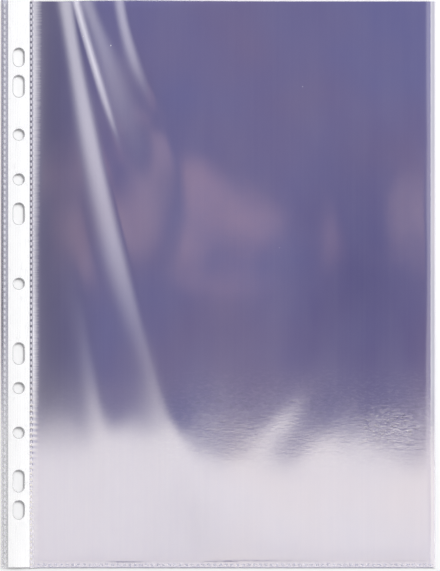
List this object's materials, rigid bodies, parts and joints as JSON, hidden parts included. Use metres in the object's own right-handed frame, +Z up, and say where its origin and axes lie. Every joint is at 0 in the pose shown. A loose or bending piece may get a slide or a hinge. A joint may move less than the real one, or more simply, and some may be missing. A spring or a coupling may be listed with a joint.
{
  "type": "sheet protector",
  "caption": "Clear film pocket for a page, open at the top, folded on one side and welded at the bottom, with a white reinforced strip punched for binder rings.",
  "frame": {"origin": "middle of the pocket's outline, on the surface that it lies on", "axes": "+X from the punched strip to the fold, +Y towards the open mouth, +Z up out of the front film"},
  "size_m": [0.2335, 0.3056, 0.0004],
  "materials": {
    "clear_film": "clear film with a faint violet tone, high gloss",
    "fused_film": "fused film, paler and less clear",
    "white_strip": "smooth white"
  },
  "bodies": {
    "binding_edge": {"punched_strip": "white_strip", "front_binding_film": "clear_film", "back_binding_film": "clear_film", "outer_weld_spots": "fused_film", "inner_weld_spots": "fused_film", "inner_seal": "fused_film"},
    "pocket_back": {"back_film": "clear_film", "fold_edge": "clear_film", "bottom_weld_spots": "fused_film", "bottom_seal": "fused_film"},
    "pocket_front": {"front_film": "clear_film"}
  },
  "joints": [
    {"name": "spine_bend", "type": "hinge", "parent": "binding_edge", "child": "pocket_back", "pos_m": [-0.09965, 0, 0.00022], "axis": [0, -1, 0], "range_deg": [0, 90]},
    {"name": "mouth_open", "type": "hinge", "parent": "pocket_back", "child": "pocket_front", "pos_m": [0, -0.15253, 0.00022], "axis": [1, 0, 0], "range_deg": [0, 4]}
  ]
}
